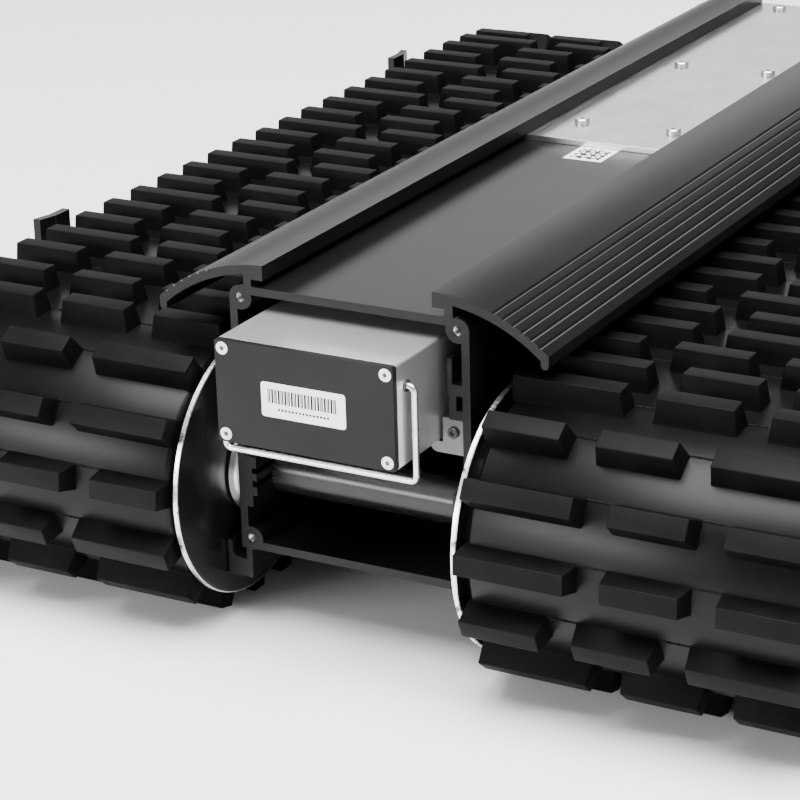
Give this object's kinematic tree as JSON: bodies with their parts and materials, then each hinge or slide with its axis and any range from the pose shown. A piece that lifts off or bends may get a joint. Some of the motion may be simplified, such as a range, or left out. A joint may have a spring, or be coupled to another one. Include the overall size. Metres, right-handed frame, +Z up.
{
  "type": "tracked robot chassis",
  "caption": "Low tracked robot chassis: an aluminium extrusion body with curved wings between two wide lugged rubber tracks, with a slide-out battery at its open end.",
  "frame": {"origin": "on the ground under the middle of the object", "axes": "+Z up, +X to the right, +Y along the body away from the battery end"},
  "size_m": [0.4544, 0.6327, 0.1628],
  "materials": {
    "black_anodised": "satin black anodised aluminium",
    "bare_aluminium": "fine brushed bare aluminium",
    "black_plate": "satin black plate",
    "bright_steel": "bright turned steel",
    "label_stock": "matt white label",
    "black_plastic": "moulded black plastic",
    "cell_wrap": "shrink sleeve",
    "gear_housing": "cast housing, dark paint",
    "motor_can": "plated can",
    "belt_rubber": "moulded black rubber",
    "drum_metal": "turned tube",
    "gloss_flange": "gloss black with a polished rim"
  },
  "bodies": {
    "root": {"body_extrusion": "black_anodised", "deck_plate": "bare_aluminium", "deck_screws": "bright_steel", "rear_end_plate": "black_anodised", "end_plate_screws": "bright_steel", "code_label": "label_stock", "battery_rails": "bare_aluminium", "bay_screws": "bright_steel", "dock_socket": "black_plastic", "dock_bridge": "black_anodised", "front_axle": "bright_steel", "axle_tube": "black_anodised", "axle_collars": "bright_steel", "axle_nuts": "bright_steel", "motor_controller": "gear_housing", "shaft_end_bearings": "bright_steel", "left_gearbox": "gear_housing", "left_motor": "motor_can", "left_belt": "belt_rubber", "left_lugs": "belt_rubber", "left_slide_beds": "bare_aluminium", "left_track_screws": "bright_steel", "left_ribs": "black_anodised", "left_side_plate": "black_anodised", "right_gearbox": "gear_housing", "right_motor": "motor_can", "right_belt": "belt_rubber", "right_lugs": "belt_rubber", "right_slide_beds": "bare_aluminium", "right_track_screws": "bright_steel", "right_ribs": "black_anodised", "right_side_plate": "black_anodised"},
    "battery": {"battery_case": "bare_aluminium", "battery_front_plate": "black_plate", "battery_rear_plate": "black_plate", "battery_screws": "bright_steel", "battery_cells": "cell_wrap", "battery_plug": "black_plastic", "battery_label": "label_stock", "bail_bushes": "black_plastic"},
    "bail": {"carry_bail": "bright_steel"},
    "front_left_drum": {"front_left_drum_shell": "drum_metal", "front_left_flanges": "gloss_flange", "front_left_tie_rods": "bright_steel", "front_left_bearings": "bright_steel"},
    "rear_left_drum": {"rear_left_drum_shell": "drum_metal", "rear_left_flanges": "gloss_flange", "rear_left_tie_rods": "bright_steel", "rear_left_drive_shaft": "bright_steel"},
    "left_worm_shaft": {"left_worm": "bright_steel"},
    "front_right_drum": {"front_right_drum_shell": "drum_metal", "front_right_flanges": "gloss_flange", "front_right_tie_rods": "bright_steel", "front_right_bearings": "bright_steel"},
    "rear_right_drum": {"rear_right_drum_shell": "drum_metal", "rear_right_flanges": "gloss_flange", "rear_right_tie_rods": "bright_steel", "rear_right_drive_shaft": "bright_steel"},
    "right_worm_shaft": {"right_worm": "bright_steel"}
  },
  "joints": [
    {"name": "battery_slide", "type": "slide", "parent": "root", "child": "battery", "axis": [0, -1, 0], "range_m": [0, 0.12]},
    {"name": "bail_swing", "type": "hinge", "parent": "battery", "child": "bail", "pos_m": [0, -0.2985, 0.1325], "axis": [-1, 0, 0], "range_deg": [-25, 180]},
    {"name": "rear_left_drum_spin", "type": "hinge", "parent": "root", "child": "rear_left_drum", "pos_m": [-0.14, 0.2515, 0.065], "axis": [1, 0, 0], "continuous": true},
    {"name": "front_left_drum_spin", "type": "hinge", "parent": "root", "child": "front_left_drum", "pos_m": [-0.14, -0.2515, 0.065], "axis": [1, 0, 0], "continuous": true},
    {"name": "left_worm_spin", "type": "hinge", "parent": "root", "child": "left_worm_shaft", "pos_m": [-0.0257, 0.24, 0.089], "axis": [0, 1, 0], "continuous": true},
    {"name": "rear_right_drum_spin", "type": "hinge", "parent": "root", "child": "rear_right_drum", "pos_m": [0.14, 0.2515, 0.065], "axis": [1, 0, 0], "continuous": true},
    {"name": "front_right_drum_spin", "type": "hinge", "parent": "root", "child": "front_right_drum", "pos_m": [0.14, -0.2515, 0.065], "axis": [1, 0, 0], "continuous": true},
    {"name": "right_worm_spin", "type": "hinge", "parent": "root", "child": "right_worm_shaft", "pos_m": [0.0257, 0.24, 0.089], "axis": [0, 1, 0], "continuous": true}
  ],
  "couplings": [
    {"joint": "front_left_drum_spin", "follows": "rear_left_drum_spin", "ratio": 1},
    {"joint": "left_worm_spin", "follows": "rear_left_drum_spin", "ratio": 40},
    {"joint": "front_right_drum_spin", "follows": "rear_right_drum_spin", "ratio": 1},
    {"joint": "right_worm_spin", "follows": "rear_right_drum_spin", "ratio": 40}
  ]
}
